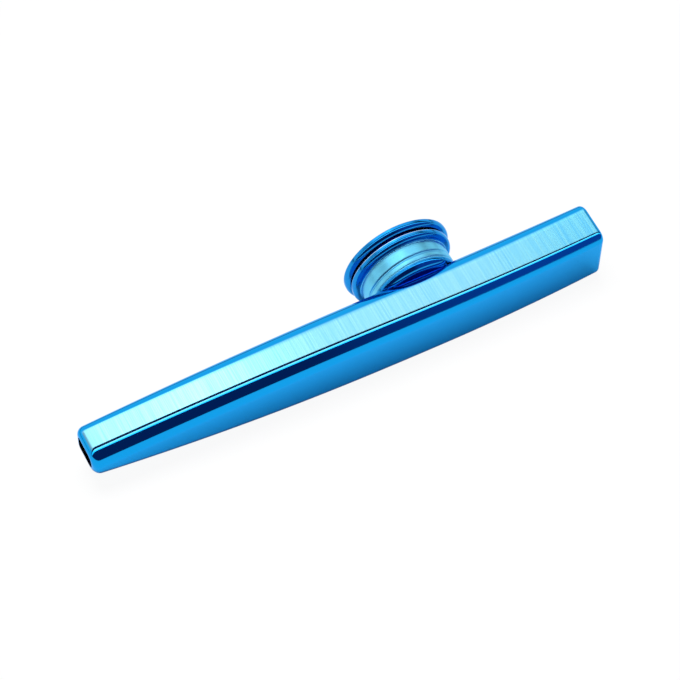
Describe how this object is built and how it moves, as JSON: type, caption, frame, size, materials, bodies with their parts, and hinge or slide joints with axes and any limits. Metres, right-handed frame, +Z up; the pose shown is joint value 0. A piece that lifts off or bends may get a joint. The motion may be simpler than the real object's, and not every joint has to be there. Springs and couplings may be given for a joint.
{
  "type": "kazoo",
  "caption": "Metal kazoo: a tapered, flattened tube open at both ends, with a turret whose screw cap holds a buzzing membrane.",
  "frame": {"origin": "on the surface that the kazoo lies on, below the middle of its bounding box", "axes": "+X along the tube from the narrow outlet to the wide mouth end, +Y to the turret's side, +Z up; the kazoo lies on its side with the turret axis tipped up from +Y"},
  "size_m": [0.1208, 0.0248, 0.0245],
  "materials": {
    "blue_aluminium": "bright blue anodised, with fine cross-wise brush marks",
    "ring_plastic": "satin white",
    "film_plastic": "thin, translucent"
  },
  "bodies": {
    "tube": {"body_tube": "blue_aluminium", "turret_cup": "blue_aluminium"},
    "membrane": {"membrane_ring": "ring_plastic", "membrane_film": "film_plastic"},
    "cap": {"screw_cap": "blue_aluminium"}
  },
  "joints": [
    {"name": "membrane_lift", "type": "slide", "parent": "tube", "child": "membrane", "axis": [0, 0.9695, 0.2452], "range_m": [0, 0.0024]},
    {"name": "cap_turn", "type": "hinge", "parent": "membrane", "child": "cap", "pos_m": [0.0198, 0.0077, 0.01194], "axis": [0, 0.9695, 0.2452], "range_deg": [0, 540]}
  ],
  "couplings": [
    {"joint": "membrane_lift", "follows": "cap_turn", "m_per_rad": 0.00025465}
  ]
}
